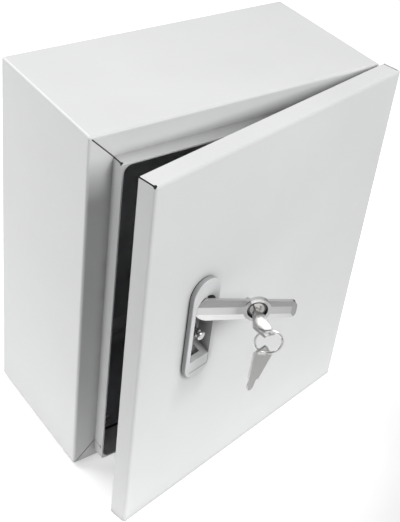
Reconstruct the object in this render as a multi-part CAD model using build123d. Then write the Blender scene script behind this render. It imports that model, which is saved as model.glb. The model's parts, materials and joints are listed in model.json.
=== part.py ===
from build123d import *
import math
import os

# Wall-mounted outdoor enclosure: folded cabinet, hinged door, lift-and-swing handle with a lock.
# The origin is the centre of the four wall-fixing holes, on the back face. X runs right, Y runs
# back to the wall and Z runs up. Lengths are millimetres and angles are degrees.
# The door is drawn closed and then turned ajar. The handle is drawn folded down, about its
# spindle's axis on the door's outer face, and then lifted and swung. A height in the handle is
# measured outwards from the door's outer face.

# Pose at rest
door_ajar_angle = 11.5
lever_lift_angle = 38.0
handle_swing_angle = 90.0
plug_turn_angle = 27.0

# Cabinet sheet
cabinet_width = 250.0
cabinet_height = 300.0
cabinet_depth = 120.5
sheet = 1.5
inner_fold_radius = 0.5
flange_width = 18.6
bottom_flange_width = 7.0
lip_height = 11.5
lip_outer_radius = 1.8
lip_inner_radius = 6.0
lip_edge_share = 0.3
mitre_gap = 0.9
mitre_hole_radius = 1.3
mitre_web = 2.4
fixing_inset = 25.0
fixing_hole_radius = 4.5
cut_overrun = 5.0

# Door sheet and gasket
door_overhang = 2.0
door_gap = 4.5
door_depth = 15.0
corner_slit = 1.0
corner_hole_radius = 1.4
corner_edge_radius = 0.6
gasket_width = 9.0
gasket_clearance = 0.3
gasket_crown_share = 0.3

# Hinges
hinge_inset = 5.0
hinge_forward = 9.0
hinge_from_end = 55.0
hinge_pin_radius = 2.0
hinge_pin_head_radius = 3.2
hinge_pin_head_height = 1.5
hinge_knuckle_wall = 2.2
hinge_block_length = 18.0
hinge_block_width = 6.0
hinge_block_setback = 0.25
hinge_arm_thickness = 2.5
hinge_leaf_length = 7.0
hinge_leaf_thickness = 2.0
hinge_leaf_reach = 9.0
hinge_axial_gap = 0.4
hinge_screw_radius = 2.0
hinge_screw_head_radius = 3.4
hinge_screw_head_height = 2.4
hinge_screw_depth = 6.0
hinge_screw_pitch = 9.0

# Fits
running_clearance = 0.05
hole_clearance = 0.2
seat_clearance = 0.3

# Mounting plate
mounting_plate_thickness = 2.0
mounting_plate_margin = 0.5
mounting_corner_radius = 3.0
mounting_stud_inset = 15.0
mounting_stud_radius = 3.0
mounting_spacer_radius = 5.5
mounting_spacer_length = 10.0
mounting_washer_radius = 6.0
mounting_washer_thickness = 1.2
mounting_nut_flats = 10.0
mounting_nut_height = 5.0
stud_spare = 4.0

# Gland plate in the bottom
gland_opening_width = 150.0
gland_opening_depth = 60.0
gland_margin = 12.0
gland_corner_radius = 4.0
gland_seal_thickness = 3.0
gland_plate_thickness = 1.5
gland_stud_radius = 2.5
gland_nut_flats = 8.0
gland_nut_height = 4.0

# Earth studs
earth_stud_radius = 3.0
earth_washer_radius = 6.5
earth_washer_thickness = 1.4
earth_nut_flats = 10.0
earth_nut_height = 5.0
earth_from_bottom = 45.0
earth_from_back = 70.0

# Escutcheon of the handle
spindle_from_left = 57.0
spindle_above_centre = 33.4
plate_half_width = 13.5
plate_above = 23.8
plate_below = 64.4
plate_height = 4.5
plate_edge_radius = 0.7
seal_thickness = 0.8
seal_inset = 0.5
slot_radius = 9.8
slot_below = 57.0
slot_corner_radius = 1.5
pocket_depth = 12.0
pocket_wall = 1.2
pocket_floor = 3.0
ramp_length = 14.8
ramp_shell = 1.5
shelf_length = 9.9
shelf_below_face = 0.2
window_width = 8.4
window_height = 5.7
window_below_face = 4.2
sleeve_radius = 7.5
sleeve_shoulder = 1.2
clamp_thickness = 2.0
clamp_length = 12.0
clamp_foot = 6.0
clamp_places = (18.0, 39.0)
clamp_screw_radius = 2.0
clamp_screw_head_radius = 3.5
clamp_screw_head_height = 2.8
clamp_screw_depth = 2.2

# Spindle and latch cam
hub_clearance = 0.4
hub_step = 2.0
ear_half_length = 3.0
ear_half_width = 7.6
ear_wall = 0.7
shaft_radius = 5.0
shaft_square = 7.0
shaft_square_short = 0.2
cam_clearance = 0.8
cam_thickness = 3.0
cam_half_width = 7.5
cam_overlap = 8.0
cam_washer_radius = 6.5
cam_washer_thickness = 1.2
cam_screw_radius = 2.5
cam_screw_head_flats = 8.0
cam_screw_head_height = 3.5
cam_screw_depth = 10.0

# Lever
lever_clearance = 0.3
lever_root_clearance = 0.45
lever_root_half_width = 9.2
lever_tip_half_width = 7.0
lever_face_half_width = 3.2
lever_length = 66.0
lever_side_height = 2.2
lever_crown_height = 3.2
lever_tip_radius = 4.5
lever_tip_bevel = 4.0
lever_boss_radius = 9.9
pivot_below_lever = 4.8
pivot_pin_radius = 1.5
lug_half_width = 4.0
lug_radius = 3.0
fork_clearance = 0.3

# Lock and keys
lock_distance = 38.0
barrel_radius = 7.4
barrel_recess = 1.6
barrel_groove_width = 1.0
barrel_groove_depth = 1.0
barrel_below_lever = 2.2
plug_radius = 5.2
plug_proud = 0.2
tongue_gap = 0.2
tongue_thickness = 1.5
tongue_length = 9.3
tongue_half_width = 2.6
keyway_floor = 0.6
key_thickness = 1.8
key_clearance = 0.1
blade_width = 5.0
key_neck = 4.0
bow_length = 25.4
bow_root_half_width = 4.4
bow_half_width = 8.7
bow_widest_share = 0.75
bow_corner_radius = 1.2
key_slot_length = 11.0
key_slot_width = 3.2
key_slot_from_end = 5.6
blade_tip_share = 0.35

# Catch inside the pocket
catch_from_spindle = 26.6
catch_foot_radius = 5.0
catch_foot_height = 2.0
catch_post_radius = 3.0
catch_post_gap = 0.5
catch_neck_radius = 1.5
catch_head_radius = 3.6
catch_head_gap = 0.4
catch_below_lever = 0.5
catch_dome_share = 0.75

# Key ring, which hangs through the keys' slots
ring_radius = 9.4
ring_wire_radius = 0.75
ring_crossing = 0.8
ring_chord_share = 0.84
ring_yaw_angle = 10.0
spare_ring_angle = 168.0
spare_tilt_angle = -16.0
spare_turn_angle = -34.0
spare_hang = 0.3

# Planes and places that follow from the sizes above
fold_radius = inner_fold_radius + sheet
front_plane = -cabinet_depth
door_back = front_plane - door_gap
door_front = door_back - door_depth
door_inner = door_front + sheet
door_width = cabinet_width + 2 * door_overhang
door_height = cabinet_height + 2 * door_overhang
lip_outer_x = cabinet_width / 2 - flange_width
lip_top = cabinet_height / 2 - flange_width
lip_bottom = bottom_flange_width - cabinet_height / 2
fixing_x = cabinet_width / 2 - fixing_inset
fixing_z = cabinet_height / 2 - fixing_inset
hinge_x = cabinet_width / 2 - hinge_inset
hinge_y = front_plane - hinge_forward
hinge_z = cabinet_height / 2 - hinge_from_end
hinge_places = {"upper": hinge_z, "lower": -hinge_z}
knuckle_radius = hinge_pin_radius + hinge_knuckle_wall
hinge_block_x = lip_outer_x + seat_clearance + hinge_block_width / 2
leaf_offset = hinge_block_length / 2 + hinge_axial_gap + hinge_leaf_length / 2
leaf_total_length = 2 * leaf_offset + hinge_leaf_length
spindle_x = spindle_from_left - door_width / 2
spindle_z = spindle_above_centre
lever_under = plate_height + lever_clearance
pivot_height = lever_under - pivot_below_lever
pocket_floor_height = plate_height - pocket_depth
pocket_back = pocket_floor - pocket_floor_height
cam_front = sheet + cam_clearance + door_gap + door_depth
cam_back = cam_front + cam_thickness
cam_length = lip_outer_x - sheet + cam_overlap + spindle_x
lever_crown = lever_under + lever_crown_height
barrel_rear = lever_under - barrel_below_lever
barrel_front = lever_crown - barrel_recess
tongue_top = barrel_rear - tongue_gap
plug_rear = tongue_top - tongue_thickness
plug_front = barrel_front + plug_proud
keyway_end = plug_rear + keyway_floor
blade_end = keyway_end + key_clearance
bow_root = plug_front + key_neck
bow_end = bow_root + bow_length
key_slot_height = bow_end - key_slot_from_end
ring_half_chord = ring_radius * ring_chord_share
ring_drop = math.sqrt(ring_radius**2 - ring_half_chord**2)
ring_outward = ring_half_chord * math.tan(math.radians(ring_yaw_angle))

# Turns that carry the drawn pieces to the pose at rest
hinge_turn = Pos(hinge_x, hinge_y, 0) * Rot(0, 0, door_ajar_angle) * Pos(-hinge_x, -hinge_y, 0)
handle_seat = hinge_turn * Pos(spindle_x, door_front, spindle_z)
hub_seat = handle_seat * Rot(0, -handle_swing_angle, 0)
lift_turn = Pos(0, -pivot_height, 0) * Rot(-lever_lift_angle, 0, 0) * Pos(0, pivot_height, 0)
lever_seat = hub_seat * lift_turn
plug_seat = lever_seat * Pos(0, 0, -lock_distance) * Rot(0, plug_turn_angle, 0)
slot_seat = plug_seat * Pos(0, -key_slot_height, ring_crossing)
ring_turn = Pos(-ring_drop, -ring_outward, -ring_half_chord) * Rot(-ring_yaw_angle, 0, 0)
ring_seat = slot_seat * ring_turn
spare_point = ring_seat * Rot(0, spare_ring_angle, 0) * Pos(ring_radius + spare_hang, 0, 0)
spare_turn = Rot(0, 0, spare_tilt_angle) * Rot(spare_turn_angle, 0, 0) * Rot(0, 0, -90)
spare_seat = spare_point * spare_turn * Pos(0, key_slot_height, 0)


def slab(profile, back, thickness):
    """A flat profile drawn in X and Z, thickened forwards from y = back."""
    plane = Plane((0, back, 0), x_dir=(1, 0, 0), z_dir=(0, -1, 0))
    return extrude(plane * profile, thickness)


def raised(profile, low, high):
    """A flat profile of the handle, from one height above the door's face to another."""
    return slab(profile, -low, high - low)


def cross_slab(profile, half_width):
    """A profile drawn in Z and height, thickened to both sides of x = 0."""
    plane = Plane((0, 0, 0), x_dir=(0, 0, 1), z_dir=(1, 0, 0))
    return extrude(plane * profile, half_width, both=True)


def rod(radius, length):
    """A round rod that stands on z = 0."""
    return Cylinder(radius, length, align=(Align.CENTER, Align.CENTER, Align.MIN))


def tube(bore, radius, length):
    """A washer or spacer that stands on z = 0."""
    return rod(radius, length) - rod(bore, length)


def hexagon(flats, height):
    """A hexagonal prism that stands on z = 0."""
    return extrude(RegularPolygon(flats / 2, 6, major_radius=False), height)


def nut(flats, bore, height):
    """A hexagonal nut that stands on z = 0."""
    return hexagon(flats, height) - rod(bore, height)


def seat(x, y, z, direction):
    """The place of a fastener whose own Z points along the given direction."""
    return Plane((x, y, z), z_dir=direction).location


def corners(half_x, half_z):
    """The four corners of a rectangle about the origin."""
    return [(sx * half_x, sz * half_z) for sx in (-1, 1) for sz in (-1, 1)]


def rounded_block(width, depth, height, radius):
    """A box about the origin with every edge rounded."""
    block = Box(width, depth, height)
    return fillet(block.edges(), radius)


def lip_profile(inset, radius):
    """The rectangle of the front lip, moved inwards by an inset."""
    width = 2 * (lip_outer_x - inset)
    height = lip_top - lip_bottom - 2 * inset
    return Pos(0, (lip_top + lip_bottom) / 2) * RectangleRounded(width, height, radius)


def mitre_cut(sx, sz):
    """The open mitre at one corner of the flange, on through the lip to a relief hole near its edge."""
    crease_along = flange_width * math.sqrt(2)
    start_along = fold_radius * math.sqrt(2)
    end_along = crease_along + (2 * sheet + lip_inner_radius) * (math.sqrt(2) - 1) + 2 * sheet
    length = end_along - start_along
    depth = 2 * sheet + lip_height - mitre_web
    slit = slab(Pos(start_along + length / 2, 0) * Rectangle(length, mitre_gap), 2 * sheet, depth)
    hole_start = crease_along - 2 * mitre_hole_radius
    hole = seat(hole_start, 2 * sheet - depth, 0, (1, 0, 0)) * rod(mitre_hole_radius, end_along - hole_start)
    inward = math.degrees(math.atan2(-sz, -sx))
    corner = Pos(sx * cabinet_width / 2, front_plane, sz * cabinet_height / 2)
    return corner * Rot(0, -inward, 0) * (slit + hole)


def hinge_screw_points():
    """The places of the hinge screws on the right-hand flange, in X and Z."""
    offsets = (-hinge_screw_pitch / 2, hinge_screw_pitch / 2)
    return [(hinge_block_x, z + offset) for z in hinge_places.values() for offset in offsets]


def make_cabinet_shell():
    """Back, sides, front flange and lip, folded from one sheet."""
    centre = Pos(0, front_plane / 2, 0)
    outer = rounded_block(cabinet_width, cabinet_depth, cabinet_height, fold_radius)
    hollow = rounded_block(
        cabinet_width - 2 * sheet,
        cabinet_depth - 2 * sheet,
        cabinet_height - 2 * sheet,
        inner_fold_radius,
    )
    shell = centre * (outer - hollow)
    mouth = lip_profile(sheet, lip_inner_radius)
    lip = slab(lip_profile(0, lip_outer_radius) - mouth, front_plane + sheet, sheet + lip_height)
    rim = lip.faces().sort_by(Axis.Y)[0].edges()
    lip = fillet(rim, sheet * lip_edge_share)
    opening = slab(mouth, front_plane + 2 * sheet, 2 * sheet + lip_height)
    shell = shell - opening + lip
    for sx, sz in corners(1, 1):
        shell -= mitre_cut(sx, sz)
    for x, z in corners(fixing_x, fixing_z):
        shell -= seat(x, cut_overrun, z, (0, -1, 0)) * rod(fixing_hole_radius, sheet + 2 * cut_overrun)
    for x, z in hinge_screw_points():
        hole = rod(hinge_screw_radius + hole_clearance, 2 * sheet)
        shell -= seat(x, front_plane + sheet, z, (0, -1, 0)) * hole
    gland_hole = Box(gland_opening_width, gland_opening_depth, 2 * cut_overrun)
    return shell - Pos(0, front_plane / 2, -cabinet_height / 2) * gland_hole


def make_door_panel():
    """The door, a folded pan with open slits at its corners and a cut-out for the handle."""
    pan = Pos(0, (door_front + door_back) / 2, 0) * Box(door_width, door_depth, door_height)
    pan = fillet(pan.edges().filter_by(Axis.Y), corner_edge_radius)
    pan = fillet(pan.faces().sort_by(Axis.Y)[0].edges(), fold_radius)
    hollow = Box(door_width - 2 * sheet, door_depth, door_height - 2 * sheet)
    hollow = Pos(0, door_inner + door_depth / 2, 0) * hollow
    pan -= fillet(hollow.faces().sort_by(Axis.Y)[0].edges(), inner_fold_radius)
    slit_front = door_front + fold_radius
    slit = Box(corner_slit, door_back - slit_front, 2 * cut_overrun)
    slit = Pos(0, (door_back + slit_front) / 2, 0) * slit
    hole = seat(0, slit_front, -cut_overrun, (0, 0, 1)) * rod(corner_hole_radius, 2 * cut_overrun)
    for sx, sz in corners(1, 1):
        at_corner = Pos(sx * door_width / 2, 0, sz * door_height / 2)
        if sx > 0:
            pan -= at_corner * Pos(-sheet - corner_slit / 2, 0, 0) * slit
        else:
            pan -= at_corner * Rot(0, -45 * sz, 0) * (slit + hole)
    cutout = slot_outline(pocket_wall + hole_clearance)
    return pan - Pos(spindle_x, door_front, spindle_z) * raised(cutout, -2 * sheet, sheet)


def make_door_gasket():
    """The foamed seal on the door's inner face, which meets the edge of the lip."""
    height = (front_plane - lip_height) - door_inner - gasket_clearance
    outer = lip_profile((sheet - gasket_width) / 2, lip_inner_radius + gasket_width / 2)
    inner = lip_profile((sheet + gasket_width) / 2, lip_inner_radius)
    seal = slab(outer - inner, door_inner + height, height)
    crown = seal.faces().sort_by(Axis.Y)[-1].edges()
    return fillet(crown, gasket_width * gasket_crown_share)


def make_hinge_block(z):
    """The cabinet's half of a hinge: a block beside the lip with an arm and a knuckle."""
    height = lip_height - hinge_block_setback
    block = Pos(hinge_block_x, front_plane - height / 2) * Rectangle(hinge_block_width, height)
    arm_length = hinge_x - hinge_block_x
    arm = Pos(hinge_x - arm_length / 2, hinge_y) * Rectangle(arm_length, hinge_arm_thickness)
    axis = Pos(hinge_x, hinge_y)
    outline = block + arm + axis * Circle(knuckle_radius)
    outline -= axis * Circle(hinge_pin_radius + running_clearance)
    solid = Pos(0, 0, z) * extrude(outline, hinge_block_length / 2, both=True)
    for x, screw_z in hinge_screw_points():
        hole = rod(hinge_screw_radius + running_clearance, hinge_screw_depth + hole_clearance)
        solid -= seat(x, front_plane, screw_z, (0, -1, 0)) * hole
    return solid


def make_hinge_leaf(z):
    """The door's half of a hinge: a pad on the inner face with a knuckle at each end."""
    pad_width = hinge_leaf_reach + knuckle_radius
    pad_x = hinge_x + (knuckle_radius - hinge_leaf_reach) / 2
    pad = Pos(pad_x, door_inner + hinge_leaf_thickness / 2) * Rectangle(pad_width, hinge_leaf_thickness)
    web_length = hinge_y - door_inner
    web = Pos(hinge_x, door_inner + web_length / 2) * Rectangle(2 * knuckle_radius, web_length)
    axis = Pos(hinge_x, hinge_y)
    eye = web + axis * Circle(knuckle_radius)
    eye -= axis * Circle(hinge_pin_radius + running_clearance)
    solid = extrude(pad, leaf_total_length / 2, both=True)
    for side in (-1, 1):
        solid += Pos(0, 0, side * leaf_offset) * extrude(eye, hinge_leaf_length / 2, both=True)
    return Pos(0, 0, z) * solid


def make_hinge_pin(z):
    """A headed pin through both halves of a hinge."""
    foot = z - leaf_total_length / 2
    head = Pos(0, 0, leaf_total_length + hinge_axial_gap) * rod(hinge_pin_head_radius, hinge_pin_head_height)
    shank = rod(hinge_pin_radius, leaf_total_length + hinge_axial_gap)
    return Pos(hinge_x, hinge_y, foot) * (shank + head)


def make_hinge_screws():
    """Screws through the flange, from inside the cabinet into the hinge blocks."""
    shank = rod(hinge_screw_radius, sheet + hinge_screw_depth)
    head = Pos(0, 0, -hinge_screw_head_height) * rod(hinge_screw_head_radius, hinge_screw_head_height)
    screw = shank + head
    return [seat(x, front_plane + sheet, z, (0, -1, 0)) * screw for x, z in hinge_screw_points()]


def make_mounting_parts():
    """The mounting plate with its welded studs, spacers, washers and nuts."""
    clear = fixing_hole_radius + mounting_plate_margin
    half_x = fixing_x - clear
    half_z = fixing_z - clear
    bore = mounting_stud_radius + hole_clearance
    points = corners(half_x - mounting_stud_inset, half_z - mounting_stud_inset)
    outline = RectangleRounded(2 * half_x, 2 * half_z, mounting_corner_radius)
    for x, z in points:
        outline -= Pos(x, z) * Circle(bore)
    plate_back = -sheet - mounting_spacer_length
    plate_front = plate_back - mounting_plate_thickness
    washer_front = plate_front - mounting_washer_thickness
    stud_length = -washer_front - sheet + mounting_nut_height + stud_spare

    def at_points(solid, y):
        return [seat(x, y, z, (0, -1, 0)) * solid for x, z in points]

    thread = mounting_stud_radius + running_clearance
    return {
        "mounting_plate": slab(outline, plate_back, mounting_plate_thickness),
        "mounting_studs": at_points(rod(mounting_stud_radius, stud_length), -sheet),
        "mounting_spacers": at_points(tube(bore, mounting_spacer_radius, mounting_spacer_length), -sheet),
        "mounting_washers": at_points(
            tube(bore, mounting_washer_radius, mounting_washer_thickness), plate_front
        ),
        "mounting_nuts": at_points(nut(mounting_nut_flats, thread, mounting_nut_height), washer_front),
    }


def make_gland_parts():
    """The plate that closes the cable opening in the bottom, with its seal, studs and nuts."""
    width = gland_opening_width + 2 * gland_margin
    depth = gland_opening_depth + 2 * gland_margin
    points = corners((width - gland_margin) / 2, (depth - gland_margin) / 2)
    outline = RectangleRounded(width, depth, gland_corner_radius)
    for x, y in points:
        outline -= Pos(x, y) * Circle(gland_stud_radius + hole_clearance)
    floor = Pos(0, front_plane / 2, sheet - cabinet_height / 2)
    plate_top = gland_seal_thickness + gland_plate_thickness
    stud = rod(gland_stud_radius, plate_top + gland_nut_height + stud_spare)
    gland_nut = nut(gland_nut_flats, gland_stud_radius + running_clearance, gland_nut_height)
    seal = extrude(outline - Rectangle(gland_opening_width, gland_opening_depth), gland_seal_thickness)
    plate = Pos(0, 0, gland_seal_thickness) * extrude(outline, gland_plate_thickness)
    return {
        "gland_seal": floor * seal,
        "gland_plate": floor * plate,
        "gland_studs": [floor * Pos(x, y, 0) * stud for x, y in points],
        "gland_nuts": [floor * Pos(x, y, plate_top) * gland_nut for x, y in points],
    }


def make_earth_parts(owner, place):
    """A welded earth stud with its washer and nut, on one wall."""
    length = earth_washer_thickness + earth_nut_height + stud_spare
    thread = earth_stud_radius + running_clearance
    washer = tube(earth_stud_radius + hole_clearance, earth_washer_radius, earth_washer_thickness)
    earth_nut = nut(earth_nut_flats, thread, earth_nut_height)
    return {
        owner + "_earth_stud": place * rod(earth_stud_radius, length),
        owner + "_earth_washer": place * washer,
        owner + "_earth_nut": place * Pos(0, 0, earth_washer_thickness) * earth_nut,
    }


def slot_outline(margin):
    """The slot in the handle's plate, grown by a margin: round above, square below."""
    half = slot_radius + margin
    below = slot_below + margin
    outline = Circle(half) + Pos(0, -below / 2) * Rectangle(2 * half, below)
    return fillet(outline.vertices().group_by(Axis.Y)[0], slot_corner_radius + margin)


def plate_outline(inset):
    """The long round-ended outline of the handle's plate, moved inwards by an inset."""
    middle = (plate_above - plate_below) / 2
    length = plate_above + plate_below - 2 * inset
    return Pos(0, middle) * SlotOverall(length, 2 * (plate_half_width - inset), rotation=90)


def make_escutcheon():
    """The handle's plate and the pocket behind it, cast as one piece."""
    plate = raised(plate_outline(0), seal_thickness, plate_height)
    plate = fillet(plate.faces().sort_by(Axis.Y)[0].edges(), plate_edge_radius)
    dish = raised(slot_outline(pocket_wall), -pocket_back, seal_thickness)
    sleeve = raised(Circle(sleeve_radius), sleeve_shoulder - cam_front, -pocket_back)
    body = plate + dish + sleeve
    body -= raised(slot_outline(0), pocket_floor_height, plate_height + cut_overrun)
    shelf_height = plate_height - shelf_below_face
    ramp = Polygon(
        (-slot_below, pocket_floor_height),
        (ramp_length - slot_below, pocket_floor_height),
        (shelf_length - slot_below, shelf_height),
        (-slot_below, shelf_height),
        align=None,
    )
    body += cross_slab(ramp, slot_radius)
    hollow = Polygon(
        (pocket_wall - slot_below, -pocket_back - cut_overrun),
        (ramp_length - ramp_shell - slot_below, -pocket_back - cut_overrun),
        (ramp_length - ramp_shell - slot_below, pocket_floor_height),
        (shelf_length - ramp_shell - slot_below, shelf_height - pocket_wall),
        (pocket_wall - slot_below, shelf_height - pocket_wall),
        align=None,
    )
    body -= cross_slab(hollow, slot_radius - pocket_wall)
    body -= raised(Circle(shaft_radius + running_clearance), -cam_front, pocket_floor_height)
    window_y = window_below_face + window_height / 2 - plate_height
    window_z = (ramp_length + shelf_length) / 2 - ramp_shell - slot_below
    window_run = ramp_length - shelf_length + 2 * ramp_shell
    body -= Pos(0, window_y, window_z) * Box(window_width, window_height, window_run)
    for place in clamp_places:
        hole = Pos(0, -place) * Circle(clamp_screw_radius + running_clearance)
        body -= raised(hole, -pocket_back, -pocket_back + clamp_screw_depth + hole_clearance)
    return body


def make_escutcheon_seal():
    """The flat seal between the handle's plate and the door."""
    ring = plate_outline(seal_inset) - slot_outline(pocket_wall + hole_clearance)
    return raised(ring, 0, seal_thickness)


def make_clamp(place):
    """A hat-shaped clamp that pulls the pocket against the door from inside."""
    inside = slot_radius + pocket_wall + seat_clearance
    outside = inside + clamp_thickness
    bridge_back = pocket_back + clamp_thickness
    bridge = Pos(0, (pocket_back + bridge_back) / 2) * Rectangle(2 * outside, clamp_thickness)
    outline = bridge
    for side in (-1, 1):
        leg_x = side * (inside + outside) / 2
        leg = Pos(leg_x, (sheet + bridge_back) / 2) * Rectangle(clamp_thickness, bridge_back - sheet)
        foot_x = side * (outside + clamp_foot / 2)
        foot = Pos(foot_x, sheet + clamp_thickness / 2) * Rectangle(clamp_foot, clamp_thickness)
        outline += leg + foot
    clamp = Pos(0, 0, -place) * extrude(outline, clamp_length / 2, both=True)
    hole = rod(clamp_screw_radius + hole_clearance, 2 * clamp_thickness)
    return clamp - seat(0, bridge_back, -place, (0, -1, 0)) * hole


def make_clamp_screw(place):
    """The screw that holds one clamp to the back of the pocket."""
    bridge_back = pocket_back + clamp_thickness
    head = Pos(0, 0, -clamp_screw_head_height) * rod(clamp_screw_head_radius, clamp_screw_head_height)
    shank = rod(clamp_screw_radius, clamp_thickness + clamp_screw_depth)
    return seat(0, bridge_back, -place, (0, -1, 0)) * (head + shank)


def make_catch():
    """The headed catch on the pocket's floor, under whose head the lock's tongue turns."""
    top = lever_under - catch_below_lever
    foot_top = pocket_floor_height + catch_foot_height
    post_top = plug_rear - catch_post_gap
    head_low = tongue_top + catch_head_gap
    head = raised(Circle(catch_head_radius), head_low, top)
    head = fillet(head.faces().sort_by(Axis.Y)[0].edges(), (top - head_low) * catch_dome_share)
    foot = raised(Circle(catch_foot_radius), pocket_floor_height, foot_top)
    post = raised(Circle(catch_post_radius), foot_top, post_top)
    neck = raised(Circle(catch_neck_radius), post_top, head_low)
    return Pos(0, 0, -catch_from_spindle) * (foot + post + neck + head)


def make_spindle():
    """The handle's spindle: a hub with two ears for the lever's pivot, and a shaft to the cam."""
    hub_radius = slot_radius - hub_clearance
    hub_low = pocket_floor_height + seat_clearance
    hub_top = pivot_height - hub_step
    ear_top = pivot_height + pivot_pin_radius + ear_wall
    hub = raised(Circle(hub_radius), hub_low, hub_top)
    ears = raised(Rectangle(2 * ear_half_width, 2 * ear_half_length), hub_top, ear_top)
    fork_half = lug_half_width + fork_clearance
    fork_floor = pivot_height - lug_radius - fork_clearance
    fork = raised(Rectangle(2 * fork_half, 2 * hub_radius), fork_floor, ear_top)
    shaft = raised(Circle(shaft_radius), -cam_front, hub_low)
    square = raised(Rectangle(shaft_square, shaft_square), shaft_square_short - cam_back, -cam_front)
    pin_hole = Pos(0, pivot_height) * Circle(pivot_pin_radius + running_clearance)
    screw_hole = Circle(cam_screw_radius + running_clearance)
    screw_end = cam_screw_depth + hole_clearance - cam_back
    solid = hub + ears - fork + shaft + square
    solid -= cross_slab(pin_hole, ear_half_width + cut_overrun)
    return solid - raised(screw_hole, -cam_back, screw_end)


def make_pivot_pin():
    """The pin on which the lever lifts."""
    return cross_slab(Pos(0, pivot_height) * Circle(pivot_pin_radius), ear_half_width)


def make_cam():
    """The latch cam, a round-ended bar that turns behind the cabinet's flange."""
    bar = Pos(-cam_length / 2, 0) * SlotOverall(cam_length + 2 * cam_half_width, 2 * cam_half_width)
    bar = bar & (Pos(-cam_length / 2, 0) * Rectangle(cam_length, 2 * cam_half_width))
    bar += Circle(cam_half_width)
    hole_side = shaft_square + 2 * running_clearance
    return raised(bar - Rectangle(hole_side, hole_side), -cam_back, -cam_front)


def make_cam_washer():
    """The washer that clamps the cam to the spindle."""
    ring = Circle(cam_washer_radius) - Circle(cam_screw_radius + hole_clearance)
    return raised(ring, -cam_back - cam_washer_thickness, -cam_back)


def make_cam_screw():
    """The hexagon screw in the end of the spindle."""
    under_head = -cam_back - cam_washer_thickness
    head = RegularPolygon(cam_screw_head_flats / 2, 6, major_radius=False)
    solid = raised(head, under_head - cam_screw_head_height, under_head)
    return solid + raised(Circle(cam_screw_radius), under_head, cam_screw_depth - cam_back)


def lever_root_limit():
    """What the lifted lever may fill: the slot's round end, and everything ahead of its spindle."""
    radius = slot_radius - lever_root_clearance
    ahead = Rectangle(2 * lever_length, 2 * lever_length, align=(Align.CENTER, Align.MAX))
    return lift_turn.inverse() * raised(Circle(radius) + ahead, -lever_length, 2 * lever_length)


def make_lever():
    """The bevelled lever with its lock boss, its pivot lug and the bore for the lock."""
    plan = Polygon(
        (-lever_tip_half_width, -lever_length),
        (lever_tip_half_width, -lever_length),
        (lever_root_half_width, 0),
        (lever_root_half_width, slot_radius),
        (-lever_root_half_width, slot_radius),
        (-lever_root_half_width, 0),
        align=None,
    )
    plan = fillet(plan.vertices().group_by(Axis.Y)[0], lever_tip_radius)
    shoulder = lever_under + lever_side_height
    section = Polygon(
        (-lever_root_half_width, -lever_under),
        (-lever_root_half_width, -shoulder),
        (-lever_face_half_width, -lever_crown),
        (lever_face_half_width, -lever_crown),
        (lever_root_half_width, -shoulder),
        (lever_root_half_width, -lever_under),
        align=None,
    )
    side = Polygon(
        (-lever_length, lever_under),
        (slot_radius, lever_under),
        (slot_radius, lever_crown),
        (lever_tip_bevel - lever_length, lever_crown),
        (-lever_length, shoulder),
        align=None,
    )
    body = raised(plan, lever_under, lever_crown)
    body = body & (Pos(0, 0, -lever_length) * extrude(section, slot_radius + lever_length))
    body = body & cross_slab(side, lever_root_half_width)
    body = body & lever_root_limit()
    body += Pos(0, 0, -lock_distance) * raised(Circle(lever_boss_radius), lever_under, lever_crown)
    lug = Pos(0, pivot_height) * Circle(lug_radius)
    lug += Pos(0, pivot_height) * Rectangle(
        2 * lug_radius, pivot_below_lever + lever_side_height, align=(Align.CENTER, Align.MIN)
    )
    body += cross_slab(lug, lug_half_width)
    pin_hole = Pos(0, pivot_height) * Circle(pivot_pin_radius + running_clearance)
    body -= cross_slab(pin_hole, lug_half_width + cut_overrun)
    bore = Pos(0, -lock_distance) * Circle(barrel_radius + running_clearance)
    return body - raised(bore, lever_under - cut_overrun, lever_crown + cut_overrun)


def make_barrel():
    """The lock's barrel, a sleeve in the lever with a narrower front."""
    groove_floor = barrel_front - barrel_groove_depth
    sleeve = raised(Circle(barrel_radius), barrel_rear, groove_floor)
    sleeve += raised(Circle(barrel_radius - barrel_groove_width), groove_floor, barrel_front)
    sleeve -= raised(Circle(plug_radius + running_clearance), barrel_rear, barrel_front)
    return Pos(0, 0, -lock_distance) * sleeve


def make_plug():
    """The lock's plug with its keyway and its locking tongue."""
    tongue = Rectangle(2 * tongue_half_width, tongue_length, align=(Align.CENTER, Align.MIN))
    tongue = tongue & Circle(tongue_length)
    solid = raised(Circle(plug_radius), plug_rear, plug_front) + raised(tongue, plug_rear, tongue_top)
    keyway = Rectangle(key_thickness + 2 * key_clearance, blade_width + 2 * key_clearance)
    return solid - raised(keyway, keyway_end, plug_front + cut_overrun)


def make_key():
    """A flat key: short blade, shield-shaped bow and a slot for the ring."""
    half_blade = blade_width / 2
    widest = bow_root + bow_length * bow_widest_share
    right_side = [
        (half_blade * blade_tip_share, blade_end),
        (half_blade, blade_end + half_blade),
        (half_blade, bow_root),
        (bow_root_half_width, bow_root),
        (bow_half_width, widest),
    ]
    left_side = [(-x, y) for x, y in reversed(right_side)]
    outline = Polygon(*right_side, (0, bow_end), *left_side, align=None)
    outline = fillet(outline.vertices().sort_by(Axis.Y)[-3:], bow_corner_radius)
    slot = Pos(0, key_slot_height) * SlotOverall(key_slot_length, key_slot_width)
    return cross_slab(outline - slot, key_thickness / 2)


def make_ring():
    """The key ring, drawn about its own centre in the plane of X and Z."""
    return Rot(90, 0, 0) * Torus(ring_radius, ring_wire_radius)


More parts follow.
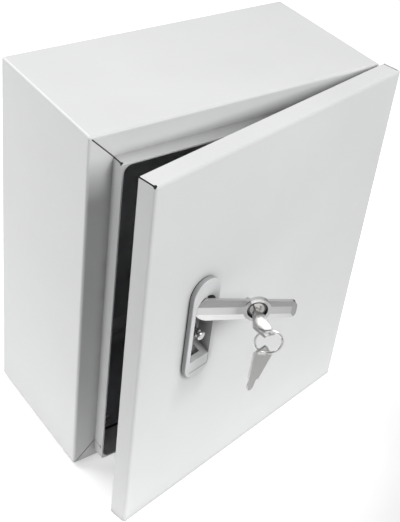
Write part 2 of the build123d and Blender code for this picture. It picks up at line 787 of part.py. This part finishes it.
nodes = {
    "cabinet_shell": make_cabinet_shell(),
    **make_mounting_parts(),
    **make_gland_parts(),
    "hinge_screws": make_hinge_screws(),
    "door_panel": hinge_turn * make_door_panel(),
    "door_gasket": hinge_turn * make_door_gasket(),
    "handle_escutcheon": handle_seat * make_escutcheon(),
    "escutcheon_seal": handle_seat * make_escutcheon_seal(),
    "escutcheon_clamps": [handle_seat * make_clamp(place) for place in clamp_places],
    "clamp_screws": [handle_seat * make_clamp_screw(place) for place in clamp_places],
    "pocket_catch": handle_seat * make_catch(),
    "handle_spindle": hub_seat * make_spindle(),
    "lever_pivot_pin": hub_seat * make_pivot_pin(),
    "latch_cam": hub_seat * make_cam(),
    "cam_washer": hub_seat * make_cam_washer(),
    "cam_screw": hub_seat * make_cam_screw(),
    "handle_lever": lever_seat * make_lever(),
    "lock_barrel": lever_seat * make_barrel(),
    "lock_plug": plug_seat * make_plug(),
    "key": plug_seat * make_key(),
    "key_ring": ring_seat * make_ring(),
    "spare_key": spare_seat * make_key(),
}
for level, z in hinge_places.items():
    nodes["hinge_block_" + level] = make_hinge_block(z)
    nodes["hinge_pin_" + level] = make_hinge_pin(z)
    nodes["hinge_leaf_" + level] = hinge_turn * make_hinge_leaf(z)
earth_z = earth_from_bottom - cabinet_height / 2
nodes.update(
    make_earth_parts("cabinet", seat(sheet - cabinet_width / 2, -earth_from_back, earth_z, (1, 0, 0)))
)
nodes.update(make_earth_parts("door", hinge_turn * seat(spindle_x, door_inner, earth_z, (0, 1, 0))))

os.makedirs("parts", exist_ok=True)
for name, shape in nodes.items():
    pieces = shape if isinstance(shape, list) else [shape]
    solids = [solid for piece in pieces for solid in piece.solids()]
    export_step(Compound(solids), "parts/" + name + ".step")
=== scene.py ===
"""Looks of the wall enclosure: its finishes, its split key ring, and the studio around it."""

import json
import logging
import math
from dataclasses import dataclass
from enum import Enum
from typing import Any

import bpy
import numpy as np
from mathutils import Matrix, Vector


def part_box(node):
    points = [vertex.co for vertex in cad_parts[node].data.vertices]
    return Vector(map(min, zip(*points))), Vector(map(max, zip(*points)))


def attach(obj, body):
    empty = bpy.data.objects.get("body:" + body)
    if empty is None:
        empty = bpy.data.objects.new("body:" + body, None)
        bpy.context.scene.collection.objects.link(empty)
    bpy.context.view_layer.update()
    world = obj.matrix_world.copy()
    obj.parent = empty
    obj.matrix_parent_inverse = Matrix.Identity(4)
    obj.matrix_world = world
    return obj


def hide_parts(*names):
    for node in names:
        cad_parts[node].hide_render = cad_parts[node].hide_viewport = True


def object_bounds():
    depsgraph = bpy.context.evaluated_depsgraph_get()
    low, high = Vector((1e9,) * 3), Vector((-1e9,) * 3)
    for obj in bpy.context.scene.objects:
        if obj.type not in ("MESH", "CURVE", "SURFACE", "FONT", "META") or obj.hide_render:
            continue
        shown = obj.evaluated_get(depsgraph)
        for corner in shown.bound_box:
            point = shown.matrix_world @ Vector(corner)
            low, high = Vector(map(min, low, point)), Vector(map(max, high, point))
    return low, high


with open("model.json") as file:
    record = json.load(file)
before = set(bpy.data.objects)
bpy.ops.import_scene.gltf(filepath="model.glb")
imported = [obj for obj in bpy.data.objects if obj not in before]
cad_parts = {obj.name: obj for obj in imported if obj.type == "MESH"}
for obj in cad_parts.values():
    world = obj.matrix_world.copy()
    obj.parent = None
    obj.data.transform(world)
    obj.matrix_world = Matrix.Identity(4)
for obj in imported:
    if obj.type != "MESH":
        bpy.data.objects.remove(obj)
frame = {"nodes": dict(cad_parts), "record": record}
cad_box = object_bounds()

log = logging.getLogger("enclosure")

Colour = tuple[float, float, float]
Place = tuple[float, float, float]

BLACK: Colour = (0.0, 0.0, 0.0)
DUST_COLOUR: Colour = (0.62, 0.61, 0.58)
# Colour of the painted shade laid into crevices and pockets.
PAINTED_SHADE_COLOUR: Colour = (0.03, 0.03, 0.03)
DUST_ROUGHNESS = 0.3
FLOOR_ROUGHNESS = 0.9
NEAREST_VIEW = 0.01
UPRIGHT: Place = (0.0, 0.0, 1.0)

FINE_SHARE = 0.4
NOISE_BAND = (0.3, 0.7)
WEAR_BAND = (0.42, 0.62)
DUST_BAND = (0.3, 0.75)
EDGE_TURN = (0.75, 0.97)
DUST_FACING = (0.3, 1.0)
OPEN_SHARE = (0.25, 0.95)
THINNEST_DUST = 0.3
# Least strength of the painted crevice shade, where its noise is lowest.
THINNEST_PAINTED_SHADE = 0.75
EDGE_SAMPLES = 4
CREVICE_SAMPLES = 8


class Wiring:
    """Adds nodes to one node tree and joins them."""

    def __init__(self, tree: bpy.types.NodeTree) -> None:
        """Keep the tree that the nodes go into."""
        self.tree = tree

    def node(self, kind: str, **settings: Any) -> bpy.types.Node:
        """Add a node.

        Args:
            kind: Blender's name of the node's type.
            settings: attributes of the node, by name.

        Returns:
            The new node.
        """
        made = self.tree.nodes.new(kind)
        for name, value in settings.items():
            setattr(made, name, value)
        return made

    def join(self, source: bpy.types.NodeSocket, target: bpy.types.NodeSocket) -> None:
        """Link an output to an input."""
        self.tree.links.new(source, target)

    def feed(self, value: Any, target: bpy.types.NodeSocket) -> None:
        """Give an input either a link or a plain value.

        Args:
            value: an output socket, or a number or colour.
            target: the input that takes it.
        """
        if isinstance(value, bpy.types.NodeSocket):
            self.join(value, target)
        else:
            target.default_value = value

    def math(self, operation: str, *values: Any) -> bpy.types.NodeSocket:
        """Add a math node.

        Args:
            operation: the node's operation.
            values: sockets or numbers, in the order of the node's inputs.

        Returns:
            The node's output.
        """
        made = self.node("ShaderNodeMath", operation=operation)
        for value, target in zip(values, made.inputs):
            self.feed(value, target)
        return made.outputs[0]

    def vector(self, operation: str, *values: Any) -> bpy.types.Node:
        """Add a vector math node.

        Args:
            operation: the node's operation.
            values: sockets or vectors, in the order of the node's inputs.

        Returns:
            The node, because some operations have a value as their result.
        """
        made = self.node("ShaderNodeVectorMath", operation=operation)
        for value, target in zip(values, made.inputs):
            self.feed(value, target)
        return made

    def spread(self, value: Any, low: float, high: float, start: Any, end: Any) -> bpy.types.NodeSocket:
        """Map a value from one range onto another, held at both ends.

        Args:
            value: the socket to map.
            low: the value that gives start.
            high: the value that gives end.
            start: the result at low.
            end: the result at high.

        Returns:
            The mapped value.
        """
        made = self.node("ShaderNodeMapRange")
        for item, target in zip((value, low, high, start, end), made.inputs):
            self.feed(item, target)
        return made.outputs["Result"]

    def blend(self, factor: Any, under: Any, over: Any) -> bpy.types.NodeSocket:
        """Mix two colours.

        Args:
            factor: the share of the second colour.
            under: the first colour.
            over: the second colour.

        Returns:
            The mixed colour.
        """
        made = self.node("ShaderNodeMix", data_type="RGBA")
        self.feed(factor, made.inputs["Factor"])
        for value, target in ((under, made.inputs[6]), (over, made.inputs[7])):
            self.feed((*value, 1.0) if isinstance(value, tuple) else value, target)
        return made.outputs[2]


class Effect(Enum):
    """The shared surface effects, each a shader node group that is built once."""

    GRAIN = "surface_grain"
    LINES = "drawn_lines"
    WEAR = "edge_wear"
    DUST = "settled_dust"
    # Painted shade in crevices and pockets, from ambient occlusion.
    CREVICE_SHADE = "painted_crevice_shade"


class EffectKit:
    """Builds the shared effects and places them in materials."""

    def __init__(self) -> None:
        """Build every group."""
        builders = {
            Effect.GRAIN: self.build_grain,
            Effect.LINES: self.build_lines,
            Effect.WEAR: self.build_wear,
            Effect.DUST: self.build_dust,
            Effect.CREVICE_SHADE: self.build_painted_shade,
        }
        self.trees: dict[Effect, bpy.types.NodeTree] = {}
        for effect, builder in builders.items():
            tree = bpy.data.node_groups.new(effect.value, "ShaderNodeTree")
            self.trees[effect] = tree
            builder(tree)

    def place(self, wiring: Wiring, effect: Effect, **values: Any) -> bpy.types.Node:
        """Put an effect in a material.

        Args:
            wiring: the wiring of the material.
            effect: which effect.
            values: the effect's inputs by name, with underscores for spaces.

        Returns:
            The group node.
        """
        made = wiring.node("ShaderNodeGroup", node_tree=self.trees[effect])
        for name, value in values.items():
            wiring.feed(value, made.inputs[name.replace("_", " ").title()])
        return made

    @staticmethod
    def open_sockets(
        tree: bpy.types.NodeTree, inputs: dict[str, float], outputs: tuple[str, ...]
    ) -> tuple[Wiring, bpy.types.Node, bpy.types.Node]:
        """Make a group's sockets.

        Args:
            tree: the group's tree.
            inputs: the default of each float input, by name.
            outputs: the names of the float outputs.

        Returns:
            The group's wiring, its input node and its output node.
        """
        for name, default in inputs.items():
            socket = tree.interface.new_socket(name, in_out="INPUT", socket_type="NodeSocketFloat")
            socket.default_value = default
        for name in outputs:
            tree.interface.new_socket(name, in_out="OUTPUT", socket_type="NodeSocketFloat")
        wiring = Wiring(tree)
        return wiring, wiring.node("NodeGroupInput"), wiring.node("NodeGroupOutput")

    @staticmethod
    def noise(
        wiring: Wiring, place: bpy.types.NodeSocket, scale: Any, detail: float
    ) -> bpy.types.NodeSocket:
        """Add a noise.

        Args:
            wiring: the wiring of the tree.
            place: the coordinates.
            scale: features per metre.
            detail: octaves.

        Returns:
            The noise's value, from 0 to 1.
        """
        made = wiring.node("ShaderNodeTexNoise")
        wiring.join(place, made.inputs["Vector"])
        wiring.feed(scale, made.inputs["Scale"])
        made.inputs["Detail"].default_value = detail
        return made.outputs[0]

    def build_grain(self, tree: bpy.types.NodeTree) -> None:
        """Fine grain with broad mottling, for coats, castings and rubber.

        Args:
            tree: the group's tree.
        """
        wiring, given, result = self.open_sockets(
            tree, {"Scale": 1500.0, "Mottle": 12.0}, ("Shade", "Height")
        )
        place = wiring.node("ShaderNodeTexCoord").outputs["Object"]
        fine = self.noise(wiring, place, given.outputs["Scale"], 3.0)
        broad = self.noise(wiring, place, given.outputs["Mottle"], 4.0)
        fine_part = wiring.math("MULTIPLY", fine, FINE_SHARE)
        broad_part = wiring.math("MULTIPLY", broad, 1.0 - FINE_SHARE)
        shade = wiring.math("ADD", fine_part, broad_part)
        wiring.join(wiring.spread(shade, *NOISE_BAND, 0.0, 1.0), result.inputs["Shade"])
        wiring.join(fine, result.inputs["Height"])

    def build_lines(self, tree: bpy.types.NodeTree) -> None:
        """Fine lines along one direction, for drawn, brushed or ground metal.

        Args:
            tree: the group's tree.
        """
        axis_socket = tree.interface.new_socket("Axis", in_out="INPUT", socket_type="NodeSocketVector")
        axis_socket.default_value = (1.0, 0.0, 0.0)
        wiring, given, result = self.open_sockets(
            tree, {"Scale": 1800.0, "Stretch": 0.03}, ("Shade", "Height")
        )
        place = wiring.node("ShaderNodeTexCoord").outputs["Object"]
        axis = wiring.vector("NORMALIZE", given.outputs["Axis"]).outputs["Vector"]
        along = wiring.vector("DOT_PRODUCT", place, axis).outputs["Value"]
        shrink = wiring.math("SUBTRACT", given.outputs["Stretch"], 1.0)
        shift = wiring.vector("SCALE", axis)
        wiring.join(wiring.math("MULTIPLY", along, shrink), shift.inputs["Scale"])
        squeezed = wiring.vector("ADD", place, shift.outputs["Vector"]).outputs["Vector"]
        lines = self.noise(wiring, squeezed, given.outputs["Scale"], 3.0)
        wiring.join(wiring.spread(lines, *NOISE_BAND, 0.0, 1.0), result.inputs["Shade"])
        wiring.join(lines, result.inputs["Height"])

    def build_wear(self, tree: bpy.types.NodeTree) -> None:
        """A broken mask along sharp edges.

        Args:
            tree: the group's tree.
        """
        wiring, given, result = self.open_sockets(tree, {"Radius": 0.0006, "Breakup": 260.0}, ("Mask",))
        place = wiring.node("ShaderNodeTexCoord").outputs["Object"]
        rounded = wiring.node("ShaderNodeBevel", samples=EDGE_SAMPLES)
        wiring.join(given.outputs["Radius"], rounded.inputs["Radius"])
        plain = wiring.node("ShaderNodeNewGeometry").outputs["Normal"]
        turn = wiring.vector("DOT_PRODUCT", rounded.outputs["Normal"], plain).outputs["Value"]
        edge = wiring.spread(turn, *EDGE_TURN, 1.0, 0.0)
        breakup = self.noise(wiring, place, given.outputs["Breakup"], 4.0)
        patches = wiring.spread(breakup, *WEAR_BAND, 0.0, 1.0)
        wiring.join(wiring.math("MULTIPLY", edge, patches), result.inputs["Mask"])

    def build_dust(self, tree: bpy.types.NodeTree) -> None:
        """A thin patchy film on what faces up.

        Args:
            tree: the group's tree.
        """
        wiring, given, result = self.open_sockets(tree, {"Amount": 0.2, "Scale": 30.0}, ("Mask",))
        place = wiring.node("ShaderNodeTexCoord").outputs["Object"]
        normal = wiring.node("ShaderNodeNewGeometry").outputs["Normal"]
        upward = wiring.vector("DOT_PRODUCT", normal, UPRIGHT).outputs["Value"]
        facing = wiring.spread(upward, *DUST_FACING, 0.0, 1.0)
        breakup = self.noise(wiring, place, given.outputs["Scale"], 5.0)
        patches = wiring.spread(breakup, *DUST_BAND, THINNEST_DUST, 1.0)
        film = wiring.math("MULTIPLY", facing, patches)
        wiring.join(wiring.math("MULTIPLY", film, given.outputs["Amount"]), result.inputs["Mask"])

    def build_painted_shade(self, tree: bpy.types.NodeTree) -> None:
        """Painted shade: a mask in slits, folds and pockets, strongest where ambient occlusion finds the
        surface closed in.

        Args:
            tree: the group's tree.
        """
        wiring, given, result = self.open_sockets(tree, {"Reach": 0.01, "Breakup": 120.0}, ("Mask",))
        place = wiring.node("ShaderNodeTexCoord").outputs["Object"]
        open_share = wiring.node("ShaderNodeAmbientOcclusion", samples=CREVICE_SAMPLES)
        wiring.join(given.outputs["Reach"], open_share.inputs["Distance"])
        closed = wiring.spread(open_share.outputs["AO"], *OPEN_SHARE, 1.0, 0.0)
        breakup = self.noise(wiring, place, given.outputs["Breakup"], 3.0)
        patches = wiring.spread(breakup, *NOISE_BAND, THINNEST_PAINTED_SHADE, 1.0)
        wiring.join(wiring.math("MULTIPLY", closed, patches), result.inputs["Mask"])


@dataclass(frozen=True)
class Finish:
    """A surface finish with grain, worn edges, dust and painted shade in its crevices.

    Colours are linear. Relief is the grain's height in metres.
    """

    name: str
    dark: Colour
    light: Colour
    worn: Colour
    roughness: tuple[float, float]
    metallic: float = 0.0
    grain: float = 1500.0
    mottle: float = 12.0
    relief: float = 0.00002
    strength: float = 0.3
    wear: float = 0.3
    wear_radius: float = 0.0006
    dust: float = 0.1
    # Strength and reach of the painted shade in crevices.
    painted_shade: float = 0.5
    painted_shade_reach: float = 0.01

    def shade(self, kit: EffectKit, wiring: Wiring) -> bpy.types.Node:
        """Place the effect that gives this finish its variation.

        Args:
            kit: the shared effects.
            wiring: the wiring of the material.

        Returns:
            A group node with the outputs Shade and Height.
        """
        return kit.place(wiring, Effect.GRAIN, scale=self.grain, mottle=self.mottle)

    def material(self, kit: EffectKit) -> bpy.types.Material:
        """Build the finish as a material.

        Args:
            kit: the shared effects.

        Returns:
            The new material.
        """
        made = bpy.data.materials.new(self.name)
        made.use_nodes = True
        wiring = Wiring(made.node_tree)
        shader = made.node_tree.nodes["Principled BSDF"]
        shader.inputs["Metallic"].default_value = self.metallic
        pattern = self.shade(kit, wiring)
        shade = pattern.outputs["Shade"]
        colour = wiring.blend(shade, self.dark, self.light)
        worn = kit.place(wiring, Effect.WEAR, radius=self.wear_radius).outputs["Mask"]
        colour = wiring.blend(wiring.math("MULTIPLY", worn, self.wear), colour, self.worn)
        film = kit.place(wiring, Effect.DUST, amount=self.dust).outputs["Mask"]
        colour = wiring.blend(film, colour, DUST_COLOUR)
        # Painted shade: ambient occlusion darkens the colour in crevices and pockets.
        painted_shade_mask = kit.place(wiring, Effect.CREVICE_SHADE, reach=self.painted_shade_reach).outputs["Mask"]
        colour = wiring.blend(wiring.math("MULTIPLY", painted_shade_mask, self.painted_shade), colour, PAINTED_SHADE_COLOUR)
        wiring.join(colour, shader.inputs["Base Color"])
        low, high = self.roughness
        clean = wiring.spread(shade, 0.0, 1.0, low, high)
        dusty = wiring.math("MULTIPLY", film, DUST_ROUGHNESS)
        wiring.join(wiring.math("ADD", clean, dusty), shader.inputs["Roughness"])
        bump = wiring.node("ShaderNodeBump")
        bump.inputs["Strength"].default_value = self.strength
        bump.inputs["Distance"].default_value = self.relief
        wiring.join(pattern.outputs["Height"], bump.inputs["Height"])
        wiring.join(bump.outputs["Normal"], shader.inputs["Normal"])
        return made


@dataclass(frozen=True)
class LinedFinish(Finish):
    """A metal finish with fine lines along one direction."""

    axis: Place = (1.0, 0.0, 0.0)
    stretch: float = 0.03

    def shade(self, kit: EffectKit, wiring: Wiring) -> bpy.types.Node:
        """Place lines where other finishes have grain.

        Args:
            kit: the shared effects.
            wiring: the wiring of the material.

        Returns:
            A group node with the outputs Shade and Height.
        """
        return kit.place(wiring, Effect.LINES, scale=self.grain, stretch=self.stretch, axis=self.axis)


class Slot(Enum):
    """The material slots of the record."""

    COAT = "grey_coat"
    ZINC = "zinc_plate"
    STEEL = "bright_steel"
    CASTING = "grey_casting"
    CAST = "satin_cast"
    NICKEL = "lock_nickel"
    # Painted shade: plated lock metal coloured near black for the shadow in its recess in the lever.
    LOCK_SHADE = "lock_dark"
    KEY = "key_steel"
    RUBBER = "black_rubber"


LEVER_AXIS: Place = (0.8988, -0.4384, 0.0)
LOCK_AXIS: Place = (-0.446, -0.895, 0.0)
KEY_AXIS: Place = (0.4, 0.2, 1.0)

FINISHES: dict[Slot, Finish] = {
    Slot.COAT: Finish(
        "grey powder coat", (0.56, 0.565, 0.565), (0.6, 0.605, 0.605), (0.68, 0.68, 0.68), (0.42, 0.5),
        grain=1300.0, relief=0.00003, strength=0.25, wear=0.35, dust=0.06, painted_shade=0.5, painted_shade_reach=0.008,
    ),
    Slot.ZINC: Finish(
        "zinc plate", (0.5, 0.51, 0.53), (0.6, 0.61, 0.62), (0.7, 0.7, 0.7), (0.28, 0.42),
        metallic=1.0, grain=400.0, mottle=60.0, relief=0.00001, strength=0.2,
    ),
    Slot.STEEL: LinedFinish(
        "ground steel", (0.5, 0.5, 0.5), (0.62, 0.62, 0.62), (0.7, 0.7, 0.7), (0.2, 0.3),
        metallic=1.0, axis=UPRIGHT, grain=5000.0, relief=0.00001, dust=0.02,
    ),
    # This casting gets strong painted shade in its pocket.
    Slot.CASTING: Finish(
        "grey painted casting", (0.52, 0.525, 0.53), (0.57, 0.575, 0.58), (0.66, 0.66, 0.66), (0.34, 0.42),
        grain=1800.0, mottle=40.0, relief=0.00002, strength=0.2, wear=0.4, wear_radius=0.0004, dust=0.05,
        painted_shade=0.92, painted_shade_reach=0.014,
    ),
    Slot.CAST: LinedFinish(
        "satin cast metal", (0.63, 0.63, 0.63), (0.69, 0.69, 0.69), (0.78, 0.78, 0.78), (0.2, 0.27),
        metallic=1.0, axis=LEVER_AXIS, grain=5000.0, relief=0.000005, strength=0.12, dust=0.02,
    ),
    Slot.NICKEL: LinedFinish(
        "lock nickel", (0.52, 0.51, 0.5), (0.64, 0.63, 0.62), (0.74, 0.72, 0.7), (0.12, 0.2),
        metallic=1.0, axis=LOCK_AXIS, grain=5000.0, relief=0.000005, strength=0.15, dust=0.02,
    ),
    # Painted shade: near-black colour on the plated lock metal stands for the shadow in the lever's
    # recess.
    Slot.LOCK_SHADE: LinedFinish(
        "lock steel painted shade", (0.1, 0.1, 0.1), (0.16, 0.16, 0.16), (0.4, 0.4, 0.4), (0.2, 0.3),
        metallic=1.0, axis=LOCK_AXIS, grain=5000.0, relief=0.000005, strength=0.15, dust=0.02,
    ),
    # The keys get short-reach painted shade along their narrow crevices.
    Slot.KEY: LinedFinish(
        "key steel", (0.68, 0.68, 0.67), (0.76, 0.76, 0.75), (0.86, 0.86, 0.85), (0.28, 0.36),
        metallic=1.0, axis=KEY_AXIS, grain=6000.0, relief=0.000004, strength=0.15, dust=0.02,
        painted_shade=0.8, painted_shade_reach=0.0015,
    ),
    Slot.RUBBER: Finish(
        "black foam rubber", (0.012, 0.012, 0.012), (0.022, 0.022, 0.022), (0.03, 0.03, 0.03), (0.7, 0.85),
        grain=900.0, relief=0.00015, strength=0.5, wear=0.1, dust=0.05,
    ),
}


class FinishShelf:
    """Holds one material for each slot."""

    def __init__(self, kit: EffectKit) -> None:
        """Build every material.

        Args:
            kit: the shared effects.
        """
        self.materials = {slot: finish.material(kit) for slot, finish in FINISHES.items()}

    def coat(self, piece: bpy.types.Object, slot: Slot) -> None:
        """Give a piece the material of one slot.

        Args:
            piece: the object to coat.
            slot: its slot in the record.
        """
        piece.data.materials.clear()
        piece.data.materials.append(self.materials[slot])


@dataclass
class SubAssembly:
    """A group of CAD nodes that keep their own meshes and take a finish by slot."""

    title: str
    nodes: tuple[str, ...]
    sharp_degrees: float = 28.0

    def dress(self, shelf: FinishShelf) -> None:
        """Smooth the round faces of each node and coat it.

        Args:
            shelf: the materials.
        """
        slots = {row["node"]: Slot(row["material_slot"]) for row in frame["record"]["subparts"]}
        for name in self.nodes:
            piece = frame["nodes"][name]
            piece.data.shade_smooth()
            piece.data.set_sharp_from_angle(angle=math.radians(self.sharp_degrees))
            shelf.coat(piece, slots[name])
            log.info("%s: dressed %s", self.title, name)


@dataclass
class SplitRing:
    """The key ring as a flat wire wound twice, in the place of the plain ring."""

    node: str = "key_ring"
    body: str = "key_ring"
    steps: int = 144
    sides: int = 12
    crossing: float = 0.35
    fullness: float = 0.94
    sharp_degrees: float = 50.0

    def measure(self) -> tuple[Vector, Vector, float, float]:
        """Find the plain ring's size and place.

        Returns:
            Its centre, its axis, its radius and the radius of its wire.
        """
        low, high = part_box(self.node)
        centre = (low + high) / 2
        offsets = np.array([vertex.co - centre for vertex in frame["nodes"][self.node].data.vertices])
        axis = np.linalg.svd(offsets, full_matrices=False)[2][2]
        wire = np.abs(offsets @ axis).max()
        radius = np.linalg.norm(offsets, axis=1).max() - wire
        return centre, Vector(axis), float(radius), float(wire)

    def wind(self) -> list[Vector]:
        """Follow the wire through both turns.

        Returns:
            The corners of its section, one step after another.
        """
        centre, axis, radius, wire = self.measure()
        along = axis.orthogonal().normalized()
        across = axis.cross(along)
        half = wire / 2
        corners: list[Vector] = []
        for step in range(self.steps + 1):
            angle = self.crossing + (4 * math.pi - 2 * self.crossing) * step / self.steps
            outward = along * math.cos(angle) + across * math.sin(angle)
            passed = min(max((angle - 2 * math.pi) / self.crossing, -1.0), 1.0)
            for side in range(self.sides):
                turn = 2 * math.pi * side / self.sides
                reach = radius + wire * math.cos(turn)
                rise = half * (passed + self.fullness * math.sin(turn))
                corners.append(centre + outward * reach + axis * rise)
        return corners

    def skin(self) -> list[tuple[int, ...]]:
        """Join the corners of neighbouring steps and close both ends.

        Returns:
            The faces, as places in the list of corners.
        """
        faces: list[tuple[int, ...]] = []
        for step in range(self.steps):
            for side in range(self.sides):
                this, following = step * self.sides, (step + 1) * self.sides
                beside = (side + 1) % self.sides
                faces.append((this + side, following + side, following + beside, this + beside))
        last = self.steps * self.sides
        faces.append(tuple(range(self.sides)))
        faces.append(tuple(reversed(range(last, last + self.sides))))
        return faces

    def build(self, shelf: FinishShelf) -> None:
        """Put the wound wire in the plain ring's place.

        Args:
            shelf: the materials.
        """
        mesh = bpy.data.meshes.new("split_ring")
        mesh.from_pydata(self.wind(), [], self.skin())
        mesh.shade_smooth()
        mesh.set_sharp_from_angle(angle=math.radians(self.sharp_degrees))
        piece = bpy.data.objects.new("split_ring", mesh)
        bpy.context.scene.collection.objects.link(piece)
        shelf.coat(piece, Slot.KEY)
        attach(piece, self.body)
        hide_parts(self.node)
        log.info("lock: wound %s", piece.name)


@dataclass(frozen=True)
class Lamp:
    """A square soft box that faces the object, with sizes in metres and its power in watts."""

    name: str
    place: Place
    size: float
    power: float
    aim: Place = (0.0, -0.1, 0.0)

    def build(self) -> None:
        """Hang the lamp and turn it to its aim."""
        lamp = bpy.data.lights.new(self.name, "AREA")
        lamp.size = self.size
        lamp.energy = self.power
        holder = bpy.data.objects.new(self.name, lamp)
        holder.location = self.place
        towards = Vector(self.aim) - Vector(self.place)
        holder.rotation_euler = towards.to_track_quat("-Z", "Y").to_euler()
        bpy.context.scene.collection.objects.link(holder)


LAMPS = (
    Lamp("front lamp", (0.34, -1.41, 1.0), 0.72, 27.5),
    Lamp("back lamp", (-0.6, 1.0, 1.4), 1.3, 33.0),
    Lamp("left lamp", (-1.6, 0.0, 0.75), 0.5, 8.3),
)


@dataclass
class Studio:
    """Pale floor, soft light and the camera of the photograph."""

    floor_size: float = 12.0
    floor_near: Colour = (0.82, 0.82, 0.82)
    floor_far: Colour = (0.3, 0.3, 0.3)
    fades: tuple[tuple[Place, float, float], ...] = (
        ((0.45, -0.89, 0.0), 0.2, 0.43),
        ((-0.75, -0.66, 0.0), 0.26, 0.5),
    )
    floor_glow: float = 0.5
    ambient: float = 0.15
    eye: Place = (-0.432834, -0.614294, 0.498028)
    right: Place = (0.812946, -0.57284, 0.104752)
    down: Place = (-0.279032, -0.541062, -0.793343)
    ahead: Place = (0.511136, 0.615717, -0.599695)
    focal_pixels: float = 1072.58
    image_height: float = 522.0
    sensor: float = 36.0

    def build(self) -> None:
        """Build the floor, the lights and the camera."""
        self.build_floor()
        self.build_ambient()
        for lamp in LAMPS:
            lamp.build()
        self.build_camera()

    def build_floor(self) -> None:
        """A plain pale floor under the object, which grows darker outside the photograph's view."""
        half = self.floor_size / 2
        low = cad_box[0][2]
        mesh = bpy.data.meshes.new("floor")
        corners = [(-half, -half, low), (half, -half, low), (half, half, low), (-half, half, low)]
        mesh.from_pydata(corners, [], [(0, 1, 2, 3)])
        floor = bpy.data.objects.new("floor", mesh)
        bpy.context.scene.collection.objects.link(floor)
        paint = bpy.data.materials.new("floor paint")
        paint.use_nodes = True
        shader = paint.node_tree.nodes["Principled BSDF"]
        shader.inputs["Roughness"].default_value = FLOOR_ROUGHNESS
        wiring = Wiring(paint.node_tree)
        place = wiring.node("ShaderNodeTexCoord").outputs["Object"]
        fade: Any = 0.0
        for towards, start, end in self.fades:
            distance = wiring.vector("DOT_PRODUCT", place, towards).outputs["Value"]
            fade = wiring.math("MAXIMUM", fade, wiring.spread(distance, start, end, 0.0, 1.0))
        wiring.join(wiring.blend(fade, self.floor_near, self.floor_far), shader.inputs["Base Color"])
        glow = wiring.blend(fade, self.floor_near, BLACK)
        wiring.join(glow, shader.inputs["Emission Color"])
        shader.inputs["Emission Strength"].default_value = self.floor_glow
        mesh.materials.append(paint)

    def build_ambient(self) -> None:
        """Soft even light from all around."""
        world = bpy.data.worlds.new("studio")
        world.use_nodes = True
        bpy.context.scene.world = world
        background = world.node_tree.nodes["Background"]
        background.inputs["Color"].default_value = (1.0, 1.0, 1.0, 1.0)
        background.inputs["Strength"].default_value = self.ambient

    def build_camera(self) -> None:
        """The camera at the photograph's viewpoint."""
        lens = bpy.data.cameras.new("camera")
        lens.sensor_width = self.sensor
        lens.lens = self.focal_pixels * self.sensor / self.image_height
        lens.clip_start = NEAREST_VIEW
        camera = bpy.data.objects.new("camera", lens)
        axes = Matrix((Vector(self.right), -Vector(self.down), -Vector(self.ahead))).transposed()
        camera.matrix_world = Matrix.Translation(self.eye) @ axes.to_4x4()
        bpy.context.scene.collection.objects.link(camera)
        bpy.context.scene.camera = camera
        bpy.context.scene.view_settings.view_transform = "Standard"


CABINET = SubAssembly(
    "cabinet", ("cabinet_shell", "cabinet_earth_stud", "cabinet_earth_washer", "cabinet_earth_nut")
)
INSIDE = SubAssembly(
    "inside",
    (
        "mounting_plate", "mounting_studs", "mounting_spacers", "mounting_washers", "mounting_nuts",
        "gland_seal", "gland_plate", "gland_studs", "gland_nuts",
    ),
)
HINGES = SubAssembly(
    "hinges",
    (
        "hinge_screws", "hinge_block_upper", "hinge_block_lower", "hinge_pin_upper", "hinge_pin_lower",
        "hinge_leaf_upper", "hinge_leaf_lower",
    ),
)
DOOR = SubAssembly(
    "door", ("door_panel", "door_gasket", "door_earth_stud", "door_earth_washer", "door_earth_nut")
)
HANDLE = SubAssembly(
    "handle",
    (
        "handle_escutcheon", "escutcheon_seal", "escutcheon_clamps", "clamp_screws", "pocket_catch",
        "handle_spindle", "lever_pivot_pin", "latch_cam", "cam_washer", "cam_screw",
    ),
)
LEVER = SubAssembly("lever", ("handle_lever",), sharp_degrees=6.0)
LOCK = SubAssembly("lock", ("lock_barrel", "lock_plug", "key", "key_ring", "spare_key"))


def main() -> None:
    """Build and dress every sub-assembly, then the studio."""
    logging.basicConfig(level=logging.INFO, format="%(message)s")
    shelf = FinishShelf(EffectKit())
    for group in (CABINET, INSIDE, HINGES, DOOR, HANDLE, LEVER, LOCK):
        group.dress(shelf)
    SplitRing().build(shelf)
    Studio().build()


if __name__ == "__main__":
    main()
